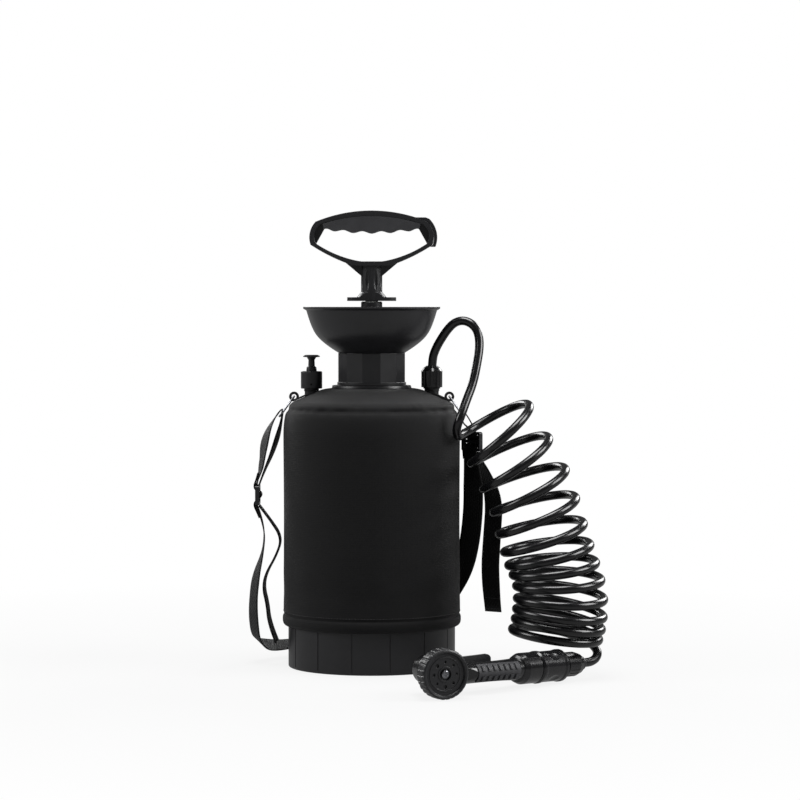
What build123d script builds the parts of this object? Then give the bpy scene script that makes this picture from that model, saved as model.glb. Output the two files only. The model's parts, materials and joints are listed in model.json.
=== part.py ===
from build123d import *
import math
import os

os.makedirs("parts", exist_ok=True)

# All sizes are in millimetres. The origin is on the floor, on the tank's axis, with +Z up and
# the front of the tank towards -Y.

# Fits
fit_gap = 0.3  # air between neighbours that don't bear on each other
slide_gap = 0.06  # radial play of a shaft in its bush
bore_gap = 0.05  # radial play of a part pushed into a bore of its own body

# Tank, foot and cover
skin_r = 99.7  # outside of the padded cover
cover_wall = 3.5
tank_wall = 2.5
foot_r = 94.4
foot_wall = 2.5
foot_floor = 3.0
foot_height = 56.0
foot_grooves = 14
groove_width = 1.4
groove_depth = 0.7
hem_z = 46.0  # lower edge of the cover
hem_height = 13.0
base_round = 12.0
shoulder_z = 268.0  # end of the straight wall
shoulder_r = 86.0
shoulder_top_z = 300.2
crest_r = 58.0
crest_z = 312.6
top_flat_r = 46.0
top_z = 314.5  # top of the cover round the neck
neck_r = 36.0
neck_bore = 31.0
neck_top = 344.6

# Funnel and its collar
ring_r = 45.0
ring_thick = 2.8
collar_r = 38.9
collar_faces = 12
collar_base = 318.0
band_height = 3.2
collar_top = 354.0
gasket_thick = 1.7
seat_thick = 2.5
rim_r = 77.4
rim_z = 406.2
rim_thick = 2.0
bowl_wall = 2.2

# Pump
cylinder_r = 23.0
cylinder_wall = 2.0
cylinder_low = 66.0
plug_low = 322.0
plug_depth = 16.0  # how far the cylinder sits in the head
head_flange_r = 34.8
head_flange = 3.4
o_ring_thick = 1.8
tower_r = 12.0
tower_top = 411.5
tower_cone_top = 392.0
head_ribs = 8
guide_r = 9.3
guide_length = 15.5
guide_lip = 0.8
rod_r = 7.3
rod_low = 92.0
rod_high = 446.0
piston_low = 78.0
piston_high = 102.0
cup_width = 5.0
valve_disc_r = 14.0
valve_disc_thick = 1.8

# Pull handle
handle_depth = 26.0
grip_depth = 29.0
web_depth = 12.0
gusset_depth = 9.0
handle_top = 514.5
handle_corner = (62.9, 502.0)
handle_side = (69.6, 489.0)
handle_heel = (68.6, 476.0)
arm_middle = (47.1, 463.7)
arm_end = (26.0, 454.7)
frame_low = 452.5
band_top = 508.3
band_corner = (57.0, 499.4)
band_side = (64.6, 484.5)
opening_heel = (62.4, 477.4)
opening_middle = (46.3, 468.2)
opening_end = (15.5, 458.0)
grip_end = (53.9, 494.3)
grip_low = 490.4
grip_sweep = 4.2
lobe_height = 1.3
lobe_pitch = 21.3
stem_r = 12.0
stem_low = 412.9
flute_count = 8
flute_width = 2.7
flute_height = 27.0
flute_z = 436.5
wing_length = 55.4
wing_width = 23.0
wing_thick = 4.2
gusset_low = 440.5
gusset_half = 30.0
web_lap = 1.3  # how far the web reaches into the grip's end
clip_thick = 3.6
clip_depth = 15.0
clip_inner = 49.0
clip_low = 474.0

# Fittings in the shoulder
fitting_x = 68.0
boss_r = 7.8
boss_bore = 5.1
boss_top = 311.0
boss_low = 299.0
washer_r = 8.4
washer_thick = 1.6
spigot_low = 292.0
fitting_r = 12.1
fitting_low = 314.0
fitting_high = 333.5

# Relief valve
relief_bore = 7.2
relief_floor = 2.2
relief_hole = 3.2
relief_roof = 2.5
relief_stem = 3.1
skirt_r = 6.0
skirt_height = 5.4
relief_neck = 3.8
relief_cap_r = 9.45
relief_cap_z = 349.3
relief_cap_thick = 2.7
relief_seal_thick = 2.4
spring_wire = 0.9

# Hose, its nut and the feed pipe
hose_r = 4.9
hose_seat = 322.0  # where the hose starts inside the nut
nut_r = 11.9
nut_straight = 333.8
nut_top = 339.7
nut_flutes = 12
outlet_tube_r = 8.0
dip_r = 4.5
dip_wall = 1.2
filter_r = 10.0
filter_height = 26.0

# Strap lugs, links and webbing
lug_thick = 1.8
lug_width = 19.0
lug_inner = 7.5
lug_outer = 22.0
eye_x = 87.8
eye_z = 304.9
eye_r = 5.6
eye_hole = 2.7
eye_thick = 4.0
link_wire = 1.15
link_length = 27.0
link_top_half = 4.6
link_low_half = 15.0
link_lean = 36.0  # degrees from vertical
gate_r = 1.25
gate_hinge = 2.4  # from the end of the link's wire to the gate's hinge
gate_eye_r = 1.6
strap_width = 25.0
strap_thick = 1.6
fold_r = 2.6  # middle of the webbing where it turns over a link
glide_height = 22.0
glide_width = 33.0
glide_thick = 4.6
glide_bar = 3.4

# Spray gun, laid on its side
gun_dial = (80.0, -289.0, 26.7)
spray_turn = 25.0  # degrees of the spray axis to the right of straight ahead
dial_r = 26.5
dial_depth = 23.0
dial_scallops = 28
scallop_r = 1.7
dial_recess = 3.0
dial_face_r = 21.5
spray_ring_r = 13.0
spray_holes = 8
spindle_r = 5.0
barrel_front = 23.4
barrel_back = 63.0
barrel_r = 17.0
barrel_rear_r = 15.0
valve_bore = 6.0
valve_stem_r = 2.6
gun_cup = (165.8, -180.0, 19.6)
grip_turn = 45.2  # degrees of the handle's axis from +X
grip_drop = -0.03  # rise of that axis per millimetre
cup_r = 16.8
cup_start = -16.6
cup_end = 11.0
lever_thick = 5.0
lever_half = 9.0
lever_hub = 4.6
lever_pin_x = 18.5  # the pin's place in the barrel's frame
lever_pin_z = 53.0
lever_middle = ((0, 0), (18, 6.5), (42, 14))
lever_tip = (69, 24)
lever_pin = 1.8
lever_travel = 7.0  # degrees
ear_thick = 3.0
pad_ribs = 7
pad_pitch = 8.2

# Quick connector, measured along the handle's axis from the middle of the cup
plug_r = 12.6
plug_end = 30.0
nipple_r = 7.6
core_start = 12.8
core_r = 12.4
core_end = 59.0
core_tail_r = 10.2
core_tail_end = 76.0
sleeve_start = 13.1
sleeve_end = 54.6
sleeve_r = 17.6
hose_nut_start = 59.2
hose_nut_end = 84.0
hose_nut_r = 13.4
hose_nut_ribs = 18
collar_end = 93.0
hose_stop = 77.0

# The hose's route: the bow over the shoulder and the last stretch into the connector
bow_points = [
    (fitting_x, 0, hose_seat),
    (fitting_x, 0, 354),
    (76, -1, 381),
    (98, -8, 400),
    (121, -17, 388),
    (128, -26, 358),
    (123, -35, 326),
    (113, -42, 297),
    (103.5, -48, 269),
    (103.5, -54, 248),
    (108, -58, 232),
]
coil_r = 50.0
coil_points = [
    (147, -53, 262),
    (171, -63, 214),
    (187, -80, 162),
    (199, -92, 124),
    (207, -98, 94),
    (208, -99, 66),
    (208, -99, 37.2),
]
tail_points = [
    (236.5, -108.8, 17.2),
    (246, -96, 18.5),
    (248.5, -80, 21.5),
    (243.5, -64, 26),
    (233, -55, 33),
    (224, -56, 44),
]

# The webbing's routes, from buckle to link and back, from buckle to buckle, and the free tails
glide_left = (-129, 0, 193.6)
glide_right = (113.5, 4, 254)
loop_left_points = [
    (-130.3, 0, 204.95),
    (-124.5, 0, 226),
    (-122.3, 0, 250),
    (-115.5, 0, 271.5),
    (-99.5, 0, 295.5),
    (-102.3, 0, 276),
    (-107.2, 0, 257),
    (-113.8, 0, 238),
    (-121, 0, 222),
    (-127.4, 0, 204.95),
]
loop_right_points = [
    (115.8, 0, 265.5),
    (115.6, 0, 271.5),
    (99.5, 0, 295.5),
    (102.3, 0, 276),
    (108, 0, 270.5),
    (112.3, 0, 268),
    (112.4, 0, 265.5),
]
main_points = [
    (-130.3, 0, 181.7),
    (-121.5, 0, 160),
    (-122, 0, 132),
    (-132.5, 0, 98),
    (-135, 1, 60),
    (-132, 22, 22),
    (-113, 58, 16),
    (-82, 90, 15),
    (-40, 111, 16),
    (5, 115, 20),
    (45, 107, 32),
    (78, 86, 56),
    (99, 60, 88),
    (110, 38, 125),
    (115, 23, 165),
    (115.5, 8, 204),
    (112.6, 4, 226),
    (112.6, 4, 242.5),
]
tail_left_points = [
    (-127.2, 0, 181.7),
    (-115, 0, 166),
    (-101.4, 0, 145),
    (-108, 0, 125),
    (-120, 0, 104),
    (-122.5, 0, 88),
    (-118, 0, 70),
    (-116, 0, 48),
    (-107.5, 0, 27),
]
tail_right_points = [
    (114.9, 5.1, 242.5),
    (114.9, 5.1, 237),
    (127, 15, 220),
    (140, 26, 188),
    (137, 30, 142),
    (134.5, 33, 98),
    (139, 36, 57),
]

parts = {}


def revolved(points):
    """A solid turned about Z from (radius, height) points."""
    return revolve(Plane.XZ * make_face(Polyline(*points, close=True)), Axis.Z)


def tube(outer, inner, low, high):
    """A plain ring about Z."""
    return revolved([(inner, low), (outer, low), (outer, high), (inner, high)])


def shoulder(inset):
    """The outline from the straight wall over the shoulder to the flat round the neck."""
    wall = (skin_r - inset, shoulder_z)
    edge = (shoulder_r - 0.6 * inset, shoulder_top_z - 0.9 * inset)
    bend = (
        wall[0] - 0.17 * (wall[0] - edge[0]),
        wall[1] + 0.575 * (edge[1] - wall[1]),
    )
    crest = (crest_r - 0.3 * inset, crest_z - inset)
    return [
        ThreePointArc(wall, bend, edge),
        Polyline(edge, crest, (top_flat_r, top_z - inset)),
    ]


def bottle(wall, neck, top):
    """The tank's outside for wall 0, and its cavity for the real wall."""
    inset = cover_wall + fit_gap + wall
    low = foot_r - foot_wall - fit_gap - wall
    base = foot_floor + fit_gap + wall
    corner = base_round * (1 - math.sqrt(0.5))
    flat = top_z - inset
    outline = Wire(
        [
            *Polyline((0, base), (low - base_round, base)).edges(),
            ThreePointArc((low - base_round, base), (low - corner, base + corner), (low, base + base_round)).edge(),
            *Polyline((low, base + base_round), (low, foot_height + fit_gap), (skin_r - inset, foot_height + 6)).edges(),
            *Line((skin_r - inset, foot_height + 6), (skin_r - inset, shoulder_z)).edges(),
            *[e for piece in shoulder(inset) for e in piece.edges()],
            *Polyline((top_flat_r, flat), (neck, flat), (neck, top), (0, top), (0, base)).edges(),
        ]
    )
    return revolve(Plane.XZ * make_face(outline), Axis.Z)


def slope_at(r):
    """The cover's height on the straight part of its top, at radius r."""
    return crest_z + (shoulder_top_z - crest_z) * (r - crest_r) / (shoulder_r - crest_r)


def tank_shell():
    body = bottle(0, neck_r, neck_top) - bottle(tank_wall, neck_bore, neck_top + 1)
    for side in (-1, 1):
        boss = Pos(side * fitting_x, 0, boss_low) * Cylinder(boss_r, boss_top - boss_low, align=(Align.CENTER, Align.CENTER, Align.MIN))
        hole = Pos(side * fitting_x, 0, boss_low) * Cylinder(boss_bore, 60)
        body = body + boss - hole
    return body


def base_foot():
    body = tube(foot_r, foot_r - foot_wall, 0, foot_height) + Pos(0, 0, foot_floor / 2) * Cylinder(foot_r - foot_wall / 2, foot_floor)
    body = chamfer(body.edges().filter_by(GeomType.CIRCLE).group_by(Axis.Z)[0], 0.8)
    cutters = [
        Rot(0, 0, 90 + (i + 0.5) * 360 / foot_grooves)
        * Pos(foot_r, 0, foot_height / 2 + 3)
        * Box(2 * groove_depth, groove_width, foot_height)
        for i in range(foot_grooves)
    ]
    drains = [Rot(0, 0, 45 + 90 * i) * Pos(55, 0, 0) * Cylinder(3, 10) for i in range(4)]
    return body - cutters - drains


def neoprene_cover():
    inset = cover_wall
    hem_in = foot_r + fit_gap
    lip_z = hem_z + hem_height
    outer = [
        Spline((hem_in + 1.2, hem_z), (skin_r - 0.6, hem_z + 5), (skin_r + 0.2, hem_z + 12), (skin_r, hem_z + 20)),
        Line((skin_r, hem_z + 20), (skin_r, shoulder_z)),
        *shoulder(0),
        Line((top_flat_r, top_z), (neck_r + fit_gap, top_z)),
    ]
    inner = [
        Polyline(
            (neck_r + fit_gap, top_z),
            (neck_r + fit_gap, top_z - inset),
            (top_flat_r, top_z - inset),
        ),
        *shoulder(inset),
        Polyline(
            (skin_r - inset, shoulder_z),
            (skin_r - inset, lip_z + 3),
            (hem_in, lip_z - 1),
            (hem_in, hem_z),
            (hem_in + 1.2, hem_z),
        ),
    ]
    face = make_face([e for piece in outer + inner for e in piece.edges()])
    body = revolve(Plane.XZ * face, Axis.Z)
    for side in (-1, 1):
        body -= Pos(side * fitting_x, 0, top_z) * Cylinder(washer_r + fit_gap, 60)
    return body


def neck_ring():
    low = top_z + fit_gap
    return revolved(
        [
            (neck_r + fit_gap, low),
            (ring_r, low),
            (ring_r - 0.6, low + ring_thick),
            (neck_r + fit_gap, low + ring_thick),
        ]
    )


def funnel_gasket():
    return tube(neck_r - 0.4, neck_bore + fit_gap, neck_top, neck_top + gasket_thick)


def bowl_curve(shift):
    """The bowl's flank from its foot to under the rim, moved inwards by shift."""
    return Spline(
        (collar_r - 2 - shift, collar_top + 1.2 * shift),
        (52 - 0.75 * shift, 364.2 + 0.8 * shift),
        (62.7 - 0.9 * shift, 374.8 + 0.6 * shift),
        (69.5 - shift, 388.5 + 0.4 * shift),
        (73.9 - shift, 402.2),
    )


def funnel():
    seat = neck_top + gasket_thick
    bore = neck_r + fit_gap
    outer = bowl_curve(0)
    inner = bowl_curve(bowl_wall)
    profile = make_face(
        [
            outer.edge(),
            *Polyline(
                outer @ 1,
                (rim_r, rim_z - rim_thick),
                (rim_r, rim_z),
                (rim_r - 3.6, rim_z),
                inner @ 1,
            ).edges(),
            inner.edge(),
            *Polyline(
                inner @ 0,
                (bore - 0.6, collar_top + 1),
                (bore - 0.6, seat + seat_thick),
                (neck_bore + fit_gap, seat + seat_thick),
                (neck_bore + fit_gap, seat),
                (bore, seat),
                (bore, collar_base),
                (collar_r - 2, collar_base),
                outer @ 0,
            ).edges(),
        ]
    )
    body = revolve(Plane.XZ * profile, Axis.Z)
    skirt = Pos(0, 0, collar_base) * extrude(RegularPolygon(collar_r, collar_faces, rotation=15), collar_top - collar_base)
    skirt -= Pos(0, 0, collar_base) * Cylinder(collar_r - 2.2, 3 * (collar_top - collar_base))
    band = tube(collar_r, collar_r - 2.2, collar_base, collar_base + band_height)
    slots = [
        Rot(0, 0, 30 * i) * Pos(collar_r, 0, collar_base + band_height + 0.4) * Box(1.2, 8, 0.9)
        for i in range(collar_faces)
    ]
    return body + skirt + band - slots


def pump_head():
    seat = neck_top + gasket_thick + seat_thick + o_ring_thick
    bore = rod_r + 0.5
    body = revolved(
        [
            (bore, plug_low + plug_depth),
            (cylinder_r + bore_gap, plug_low + plug_depth),
            (cylinder_r + bore_gap, plug_low),
            (neck_bore - fit_gap, plug_low),
            (neck_bore - fit_gap, seat),
            (head_flange_r, seat),
            (head_flange_r, seat + head_flange),
            (25, seat + head_flange + 1.5),
            (17.5, 372),
            (tower_r, tower_cone_top),
            (tower_r, tower_top),
            (guide_r, tower_top),
            (guide_r, tower_top - guide_length),
            (bore, tower_top - guide_length),
        ]
    )
    rib = Plane.XZ * make_face(
        Polyline((14, seat + head_flange - 1), (32.5, seat + head_flange - 1), (24.5, 366), (14, 388), close=True)
    )
    ribs = [Rot(0, 0, 360 / head_ribs * i) * extrude(rib, 1.4, both=True) for i in range(head_ribs)]
    core = Pos(0, 0, 380) * Cylinder(13, 40)
    return body + [r - core for r in ribs]


def pump_o_ring():
    low = neck_top + gasket_thick + seat_thick
    return tube(head_flange_r - 0.8, neck_bore + 0.8, low, low + o_ring_thick)


def pump_cylinder():
    return tube(cylinder_r, cylinder_r - cylinder_wall, cylinder_low, plug_low + plug_depth)


def cylinder_foot():
    wall = 2.0
    outer = cylinder_r + bore_gap + wall
    body = revolved(
        [
            (0, cylinder_low - 4),
            (outer - 2, cylinder_low - 4),
            (outer, cylinder_low - 2),
            (outer, cylinder_low + 16),
            (cylinder_r + bore_gap, cylinder_low + 16),
            (cylinder_r + bore_gap, cylinder_low),
            (0, cylinder_low),
        ]
    )
    ports = [Rot(0, 0, 60 * i) * Pos(9, 0, cylinder_low - 2) * Cylinder(1.8, 12) for i in range(6)]
    peg_low = cylinder_low - 4 - valve_disc_thick - 2 * bore_gap
    peg = revolved(
        [
            (0, cylinder_low - 3),
            (2.4, cylinder_low - 3),
            (2.4, peg_low),
            (4.4, peg_low),
            (3.0, peg_low - 2.2),
            (0, peg_low - 2.2),
        ]
    )
    return body - ports + peg


def check_valve_disc():
    high = cylinder_low - 4 - bore_gap
    return tube(valve_disc_r, 2.4 + bore_gap, high - valve_disc_thick, high)


def rod_guide():
    low = tower_top - guide_length
    inner = rod_r + slide_gap
    return revolved(
        [
            (inner, low),
            (guide_r, low),
            (guide_r, tower_top),
            (tower_r - 0.6, tower_top),
            (tower_r - 0.9, tower_top + guide_lip),
            (inner, tower_top + guide_lip),
        ]
    )


def piston():
    r = cylinder_r - cylinder_wall - 0.6
    mid = (piston_low + piston_high) / 2
    groove = cup_width / 2 + bore_gap
    return revolved(
        [
            (0, piston_low),
            (r - 1, piston_low),
            (r, piston_low + 1),
            (r, mid - groove),
            (r - 3.2, mid - groove),
            (r - 3.2, mid + groove),
            (r, mid + groove),
            (r, piston_high - 6),
            (12, piston_high),
            (rod_r + slide_gap, piston_high),
            (rod_r + slide_gap, rod_low - fit_gap),
            (0, rod_low - fit_gap),
        ]
    )


def cup_seal():
    r = cylinder_r - cylinder_wall
    mid = (piston_low + piston_high) / 2
    half = cup_width / 2
    return revolved(
        [
            (r - 3.8 + bore_gap, mid - half),
            (r - 1.2, mid - half),
            (r - slide_gap, mid - 0.4),
            (r - slide_gap, mid + half),
            (r - 1.5, mid + half),
            (r - 2.2, mid),
            (r - 3.8 + bore_gap, mid + half),
        ]
    )


def piston_rod():
    return revolved(
        [
            (0, rod_low),
            (rod_r - 0.8, rod_low),
            (rod_r, rod_low + 0.8),
            (rod_r, rod_high - 0.8),
            (rod_r - 0.8, rod_high),
            (0, rod_high),
        ]
    )


def loop_face(corner, side, heel, middle, end, top, low):
    """A closed outline of the handle's loop, the same on both halves."""
    def flip(p):
        return (-p[0], p[1])

    edges = [
        ThreePointArc(flip(corner), (0, top), corner),
        ThreePointArc(corner, side, heel),
        ThreePointArc(heel, middle, end),
        Polyline(end, (end[0] - 4, low), (4 - end[0], low), flip(end)),
        ThreePointArc(flip(end), flip(middle), flip(heel)),
        ThreePointArc(flip(heel), flip(side), flip(corner)),
    ]
    return make_face([e for piece in edges for e in piece.edges()])


def outer_face():
    return loop_face(handle_corner, handle_side, handle_heel, arm_middle, arm_end, handle_top, frame_low)


def grip_edge():
    """The finger grip's waved lower edge."""
    steps = 20
    xs = [grip_end[0] * (2 * i / steps - 1) for i in range(steps + 1)]
    inner = [
        (x, grip_low + grip_sweep * (x / grip_end[0]) ** 2 - lobe_height * math.cos(2 * math.pi * x / lobe_pitch))
        for x in xs[1:-1]
    ]
    return Spline((-grip_end[0], grip_end[1]), *inner, grip_end)


def handle_frame():
    low = opening_end[1] - 0.6
    inner = loop_face(band_corner, band_side, opening_heel, opening_middle, opening_end, band_top, low)
    loop = Plane.XZ * extrude(outer_face() - inner, handle_depth / 2, both=True)
    web_outline = [
        (grip_end[0] - web_lap, band_corner[1] + 1),
        (band_corner[0] + 1.5, band_corner[1] + 1),
        (band_side[0], 0.4 * band_side[1] + 0.6 * band_corner[1]),
        (band_side[0] + 1.5, band_side[1]),
        (opening_heel[0] + 0.5, opening_heel[1] - 0.5),
        (grip_end[0] - web_lap / 4, grip_end[1] - 0.6),
        (grip_end[0] - web_lap, grip_end[1] + 0.4),
    ]
    web = Plane.XZ * extrude(make_face(Polyline(*web_outline, close=True)), web_depth / 2, both=True)
    stem_top = frame_low + 1
    stem = Pos(0, 0, (stem_low + stem_top) / 2) * Cylinder(stem_r, stem_top - stem_low)
    flute = Plane.XZ * make_face(
        [
            ThreePointArc((0, -flute_height / 2), (flute_width, 0), (0, flute_height / 2)).edge(),
            Line((0, flute_height / 2), (0, -flute_height / 2)).edge(),
        ]
    )
    flute = revolve(flute, Axis.Z)
    flutes = [
        Rot(0, 0, 360 / flute_count * (i + 0.5)) * Pos(stem_r + 0.9, 0, flute_z) * flute for i in range(flute_count)
    ]
    gusset = Plane.XZ * extrude(
        make_face(
            Polyline(
                (-gusset_half, frame_low + 4),
                (-stem_r + 1, gusset_low),
                (stem_r - 1, gusset_low),
                (gusset_half, frame_low + 4),
                close=True,
            )
        ),
        gusset_depth / 2,
        both=True,
    )
    wings = Pos(0, 0, stem_low) * extrude(Ellipse(wing_length / 2, wing_width / 2), wing_thick)
    flare = revolved([(0, stem_low), (stem_r + 5, stem_low + wing_thick), (stem_r, stem_low + 10), (0, stem_low + 10)])
    flare &= Pos(0, 0, stem_low) * extrude(Ellipse(wing_length / 2, wing_width / 2), 20)
    body = loop + web + mirror(web, Plane.YZ) + (stem - flutes) + gusset + wings + flare
    return body - Pos(0, 0, (stem_low + rod_high) / 2) * Cylinder(rod_r + bore_gap, rod_high - stem_low + 2 * bore_gap)


def finger_grip():
    gap = 0.1
    top = ThreePointArc(
        (-band_corner[0] + 2, band_corner[1] + 0.2), (0, band_top - gap), (band_corner[0] - 2, band_corner[1] + 0.2)
    )
    edge = grip_edge()
    outline = make_face(
        [top.edge(), edge.edge(), Line(top @ 0, edge @ 0).edge(), Line(top @ 1, edge @ 1).edge()]
    )
    side = (band_corner[0] - grip_end[0]) / 2
    low = opening_end[1]
    seat = loop_face(band_corner, band_side, opening_heel, opening_middle, opening_end, band_top - gap, low)
    body = Plane.XZ * extrude(outline & seat, grip_depth / 2, both=True)
    ends = [
        Pos(x, 0, grip_end[1] + side) * Box(2 * side + 4, web_depth + 4 * gap, 14)
        for x in (-grip_end[0] - 2, grip_end[0] + 2)
    ]
    return body - ends


def handle_clip():
    face = outer_face()
    shell = offset(face, clip_thick + fit_gap) - offset(face, fit_gap)
    keep = Pos(clip_inner + 20, (clip_low + 507) / 2) * Rectangle(40, 507 - clip_low)
    return Plane.XZ * extrude(shell & keep, clip_depth / 2, both=True)


def washer():
    """The flat seal between a fitting and the tank's boss."""
    return tube(washer_r, boss_bore, boss_top, boss_top + washer_thick)


def fitting_base():
    """What both fittings have below their bodies: the collar on the seal and the spigot in the boss."""
    collar = Pos(0, 0, (boss_top + washer_thick + fitting_low) / 2) * Cylinder(
        washer_r, fitting_low - boss_top - washer_thick
    )
    spigot = Pos(0, 0, (spigot_low + fitting_low) / 2) * Cylinder(boss_bore - bore_gap, fitting_low - spigot_low)
    return collar + spigot


def relief_body():
    block = fillet(
        (Pos(0, 0, (fitting_low + fitting_high) / 2) * Cylinder(fitting_r, fitting_high - fitting_low)).edges(), 0.8
    )
    chamber_low = fitting_low + relief_floor
    chamber_high = fitting_high - relief_roof
    chamber = tube(relief_bore, 0, chamber_low, chamber_high)
    stem_hole = Pos(0, 0, fitting_high) * Cylinder(relief_stem + slide_gap, 4 * relief_roof)
    port = Pos(0, 0, (spigot_low + chamber_low) / 2) * Cylinder(relief_hole, chamber_low - spigot_low + 1)
    vents = [Rot(0, 0, 90 * i) * Pos(fitting_r, 0, fitting_low + 5) * Rot(0, 90, 0) * Cylinder(1.0, 12) for i in range(4)]
    return block + fitting_base() - chamber - stem_hole - port - vents


def relief_knob():
    low = fitting_low + relief_floor + relief_seal_thick + 0.1
    skirt_low = fitting_high + fit_gap
    return revolved(
        [
            (0, low),
            (5.2, low),
            (5.2, low + 1.4),
            (relief_stem, low + 1.4),
            (relief_stem, skirt_low),
            (skirt_r, skirt_low),
            (skirt_r - 0.5, skirt_low + skirt_height - 1),
            (relief_neck, skirt_low + skirt_height),
            (relief_neck - 0.3, relief_cap_z - 3),
            (relief_neck + 1.6, relief_cap_z),
            (relief_cap_r, relief_cap_z + 0.4),
            (relief_cap_r, relief_cap_z + 1.5),
            (relief_cap_r - 2.5, relief_cap_z + relief_cap_thick),
            (0, relief_cap_z + relief_cap_thick),
        ]
    )


def relief_seal():
    low = fitting_low + relief_floor + 0.1
    return Pos(0, 0, low + relief_seal_thick / 2) * Cylinder(5.2, relief_seal_thick)


def coil_spring(radius, wire, low, high, turns):
    """An open coil spring about Z."""
    height = high - low - wire
    path = Helix(height / turns, height, radius, center=(0, 0, low + wire / 2))
    return sweep(Plane(origin=path @ 0, z_dir=path % 0) * Circle(wire / 2), path=path)


def relief_spring():
    low = fitting_low + relief_floor + relief_seal_thick + 0.1 + 1.4
    high = fitting_high - relief_roof
    return coil_spring(4.7, spring_wire, low + 0.1, high - 0.1, 5)


def outlet_fitting():
    tower = Pos(0, 0, (fitting_low + hose_seat - 2) / 2) * Cylinder(
        outlet_tube_r, hose_seat - 2 - fitting_low
    )
    flange = tube(9.6, 0, fitting_low, fitting_low + 1.4)
    bore = Pos(0, 0, 310) * Cylinder(2.6, 60)
    return fitting_base() + tower + flange - bore


def outlet_nut():
    low = fitting_low + 1.6
    body = revolved(
        [
            (outlet_tube_r + bore_gap, low),
            (nut_r, low),
            (nut_r, nut_straight),
            (nut_r - 2.4, nut_straight + 3.4),
            (hose_r + 1.4, nut_top),
            (hose_r + 0.15, nut_top),
            (hose_r + 0.15, hose_seat - 1.6),
            (outlet_tube_r + bore_gap, hose_seat - 1.6),
        ]
    )
    flutes = [
        Rot(0, 0, 360 / nut_flutes * (i + 0.5)) * Pos(nut_r + 0.7, 0, (low + nut_straight) / 2 + 1.5)
        * Cylinder(1.5, nut_straight - low)
        for i in range(nut_flutes)
    ]
    return body - flutes


def dip_tube():
    points = [
        (fitting_x, 0, spigot_low - 0.2),
        (fitting_x - 1, 0, 235),
        (fitting_x - 3, 0, 178),
        (fitting_x - 6, 0, 121),
        (fitting_x - 8, 0, 66),
        (fitting_x - 8, 0, 8 + filter_height),
    ]
    outer = cord(points, dip_r)
    inner = cord(points, dip_r - dip_wall)
    return outer - inner


def suction_filter():
    low = foot_floor + fit_gap + tank_wall + 1
    high = low + filter_height
    cage = tube(filter_r, filter_r - 1.6, low, high) + tube(filter_r, 0, high, high + 1.6)
    cage += tube(filter_r, 0, low, low + 1.4)
    slots = [
        Rot(0, 0, 30 * i) * Pos(filter_r, 0, low + filter_height / 2) * Box(6, 1.6, filter_height - 8)
        for i in range(12)
    ]
    cage = cage - slots - Pos(0, 0, high) * Cylinder(dip_r + bore_gap, 6)
    return Pos(fitting_x - 8, 0, 0) * cage


def strap_lug(side):
    """A plate under a fitting, following the cover's slope, with an upright eye at its outer end."""
    tilt = math.degrees(math.atan2(crest_z - shoulder_top_z, shoulder_r - crest_r))
    base = Plane(
        origin=(fitting_x, 0, slope_at(fitting_x) + fit_gap),
        x_dir=(math.cos(math.radians(tilt)), 0, -math.sin(math.radians(tilt))),
        z_dir=(math.sin(math.radians(tilt)), 0, math.cos(math.radians(tilt))),
    )
    length = lug_inner + lug_outer
    sketch = Pos((lug_outer - lug_inner) / 2, 0) * RectangleRounded(length, lug_width, 5.5)
    plate = base * extrude(sketch, lug_thick)
    plate -= Pos(fitting_x, 0, boss_top) * Cylinder(washer_r + fit_gap, 60)
    eye = Pos(eye_x, 0, eye_z) * Rot(90, 0, 0) * (Cylinder(eye_r, eye_thick) - Cylinder(eye_hole, 3 * eye_thick))
    below = base * Pos(0, 0, -20) * Box(120, 60, 40)
    body = plate + (eye - below)
    return body if side > 0 else mirror(body, Plane.YZ)


def link_plane(side):
    """The link's own plane: local X along the tank's Y, local Y up along the link."""
    lean = math.radians(link_lean)
    up = Vector(-side * math.sin(lean), 0, math.cos(lean))
    return Plane(origin=(side * eye_x, 0, eye_z), x_dir=(0, 1, 0), z_dir=Vector(0, 1, 0).cross(up))


def link_ends():
    """The two ends of the gate along the link's front side, in the link's plane."""
    top = Vector(-link_top_half, -link_top_half - 1.5)
    low = Vector(-link_low_half, -link_length + 4)
    return top, low


def hook_link(side):
    """A wire link with one side left open for the gate."""
    top, low = link_ends()
    along = (low - top).normalized()
    gap = gate_r + 0.8
    start = top + along * gap
    path = FilletPolyline(
        (start.X, start.Y),
        (top.X, top.Y),
        (-link_top_half + 0.5, 0),
        (link_top_half - 0.5, 0),
        (link_top_half, -link_top_half - 1.5),
        (link_low_half, -link_length + 4),
        (link_low_half, -link_length),
        (-link_low_half, -link_length),
        (low.X, low.Y),
        radius=[1.6, 1.6, 1.6, 1.6, 1.6, 1.6, 1.6],
    )
    wire = sweep(Plane(origin=path @ 0, z_dir=path % 0) * Circle(link_wire), path=path)
    return link_plane(side) * wire


def hook_gate(side):
    """The sprung bar that closes the link, with the eye that it turns on at its foot."""
    top, low = link_ends()
    along = (low - top).normalized()
    first = top + along * (gate_r + 1.2)
    hinge = low - along * gate_hinge
    path = Line((first.X, first.Y), (hinge.X, hinge.Y))
    bar = sweep(Plane(origin=path @ 0, z_dir=path % 0) * Circle(gate_r), path=path)
    eye = Pos(hinge.X, hinge.Y, 0) * Cylinder(gate_eye_r, 2 * gate_r + 0.4)
    return link_plane(side) * (bar + eye)


def corner_radii(points):
    """The largest tangent arc that each corner of a route has room for."""
    radii = []
    for a, b, c in zip(points, points[1:], points[2:]):
        before = Vector(*b) - Vector(*a)
        after = Vector(*c) - Vector(*b)
        turn = math.radians(before.get_angle(after))
        radii.append(0.45 * min(before.length, after.length) / math.tan(turn / 2))
    return radii


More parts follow.
